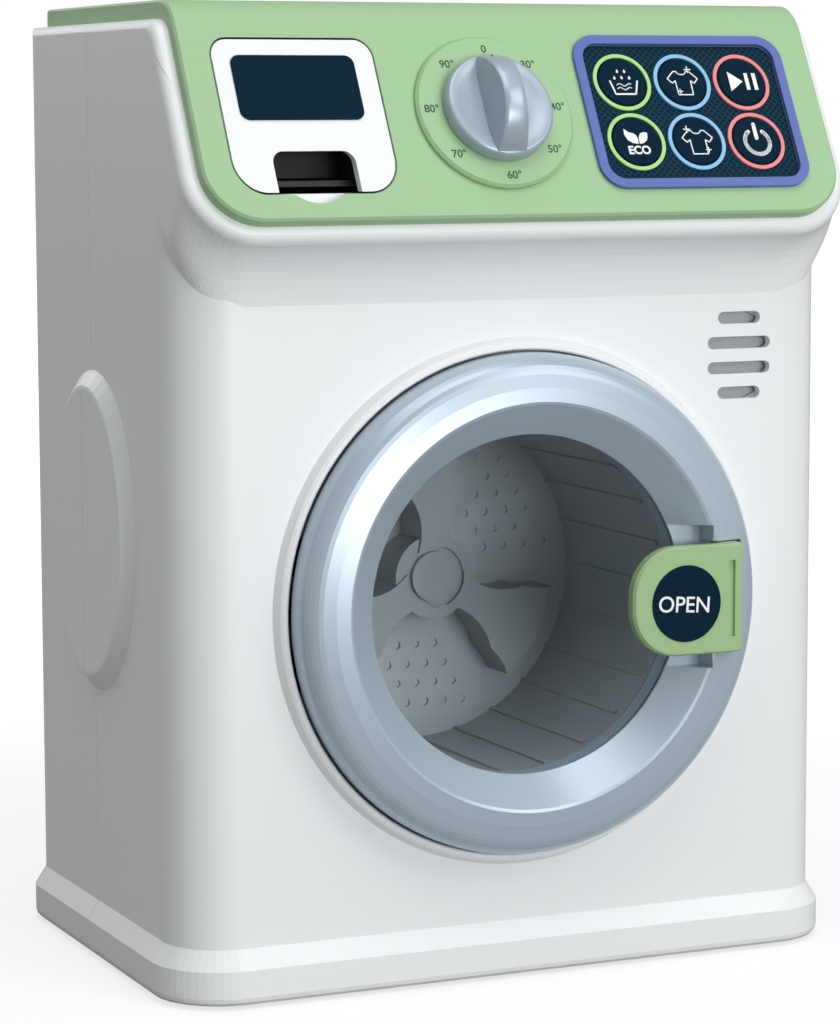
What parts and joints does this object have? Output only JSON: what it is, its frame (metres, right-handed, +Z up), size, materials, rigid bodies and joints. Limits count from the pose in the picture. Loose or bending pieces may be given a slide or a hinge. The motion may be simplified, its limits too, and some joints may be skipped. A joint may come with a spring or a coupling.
{
  "type": "toy washing machine",
  "caption": "Toy washing machine: white cabinet, green console with dial, buttons and drawer, round blue-grey door with sprung handle, geared drum",
  "frame": {"origin": "centre of the bounding box on the floor, under the feet", "axes": "+Z up, the door and console face -Y, +X to the viewer's right"},
  "size_m": [0.192, 0.1397, 0.2521],
  "materials": {
    "white_shell": "satin",
    "green_plastic": "satin",
    "silver_blue": "pearl satin",
    "navy": "satin",
    "violet_blue": "satin",
    "ring_light_green": "satin",
    "ring_light_blue": "satin",
    "ring_rose": "satin",
    "dark_grey": "fine grain",
    "tray_white": "satin",
    "gear_plastic": "moulded",
    "smoky_window": "clear, tinted",
    "steel": "plated",
    "brass": "turned",
    "rubber_dark": "matt",
    "rubber_grey": "matt",
    "board_green": "coated board",
    "cell_wrap": "printed wrap"
  },
  "bodies": {
    "cabinet": {"front_shell": "white_shell", "rear_shell": "white_shell", "base_plate": "white_shell", "feet": "rubber_dark", "case_screws": "steel", "base_screws": "steel", "console_cover": "green_plastic", "dial_disc": "green_plastic", "button_frame": "violet_blue", "button_sheet": "navy", "ring_green": "ring_light_green", "ring_blue": "ring_light_blue", "ring_pink": "ring_rose", "rubber_keypad": "rubber_grey", "circuit_board": "board_green", "board_screws": "steel", "rotary_switch": "dark_grey", "drawer_housing": "dark_grey", "tub": "dark_grey", "tub_screws": "steel", "drum_bush": "brass", "gearbox_plate": "tray_white", "gearbox_screws": "steel", "idler_axle": "steel", "motor": "steel", "battery_box": "dark_grey", "batteries": "cell_wrap", "battery_contacts": "steel", "battery_cover": "white_shell", "battery_screw": "steel", "speaker": "dark_grey", "speaker_clamp": "steel", "hinge_bracket": "tray_white", "hinge_pin": "steel"},
    "door": {"door_ring": "silver_blue", "door_inner_ring": "silver_blue", "door_window": "smoky_window", "door_screws": "steel", "handle_pin": "steel", "handle_spring": "steel"},
    "handle": {"door_handle": "green_plastic", "handle_disc": "navy"},
    "drum_body": {"drum": "dark_grey", "drum_spider": "dark_grey", "drum_shaft": "steel", "drum_gear": "gear_plastic"},
    "idler": {"idler_gear": "gear_plastic"},
    "pinion": {"motor_pinion": "brass"},
    "dial_knob": {"knob": "silver_blue"},
    "drawer": {"drawer_front": "white_shell", "drawer_tray": "tray_white", "drawer_label": "navy"},
    "button_tub": {"cap_tub": "navy"},
    "button_shirt": {"cap_shirt": "navy"},
    "button_play": {"cap_play": "navy"},
    "button_eco": {"cap_eco": "navy"},
    "button_spin": {"cap_spin": "navy"},
    "button_power": {"cap_power": "navy"}
  },
  "joints": [
    {"name": "door_hinge", "type": "hinge", "parent": "cabinet", "child": "door", "pos_m": [-0.0697, -0.04805, 0.0985], "axis": [0, 0, -1], "range_deg": [0, 90]},
    {"name": "handle_pivot", "type": "hinge", "parent": "door", "child": "handle", "pos_m": [0.0538, -0.06155, 0.0985], "axis": [0, 0, 1], "range_deg": [0, 10], "stiffness_Nm_per_rad": 0.06},
    {"name": "drum_spin", "type": "hinge", "parent": "cabinet", "child": "drum_body", "pos_m": [0, -0.03225, 0.0985], "axis": [0, 1, 0], "continuous": true},
    {"name": "idler_spin", "type": "hinge", "parent": "cabinet", "child": "idler", "pos_m": [0.02837, 0.02775, 0.07634], "axis": [0, 1, 0], "continuous": true},
    {"name": "pinion_spin", "type": "hinge", "parent": "cabinet", "child": "pinion", "pos_m": [0.05069, 0.03075, 0.07077], "axis": [0, 1, 0], "continuous": true},
    {"name": "knob_turn", "type": "hinge", "parent": "cabinet", "child": "dial_knob", "pos_m": [-0.0075, -0.05247, 0.22373], "axis": [0, 0.8788, -0.4772], "range_deg": [0, 315]},
    {"name": "drawer_slide", "type": "slide", "parent": "cabinet", "child": "drawer", "axis": [0, -1, 0], "range_m": [0, 0.034]},
    {"name": "press_tub", "type": "slide", "parent": "cabinet", "child": "button_tub", "axis": [0, 0.8788, -0.4772], "range_m": [0, 0.001], "stiffness_N_per_m": 400},
    {"name": "press_shirt", "type": "slide", "parent": "cabinet", "child": "button_shirt", "axis": [0, 0.8788, -0.4772], "range_m": [0, 0.001], "stiffness_N_per_m": 400},
    {"name": "press_play", "type": "slide", "parent": "cabinet", "child": "button_play", "axis": [0, 0.8788, -0.4772], "range_m": [0, 0.001], "stiffness_N_per_m": 400},
    {"name": "press_eco", "type": "slide", "parent": "cabinet", "child": "button_eco", "axis": [0, 0.8788, -0.4772], "range_m": [0, 0.001], "stiffness_N_per_m": 400},
    {"name": "press_spin", "type": "slide", "parent": "cabinet", "child": "button_spin", "axis": [0, 0.8788, -0.4772], "range_m": [0, 0.001], "stiffness_N_per_m": 400},
    {"name": "press_power", "type": "slide", "parent": "cabinet", "child": "button_power", "axis": [0, 0.8788, -0.4772], "range_m": [0, 0.001], "stiffness_N_per_m": 400}
  ],
  "couplings": [
    {"joint": "idler_spin", "follows": "drum_spin", "ratio": -5},
    {"joint": "pinion_spin", "follows": "drum_spin", "ratio": 18}
  ]
}
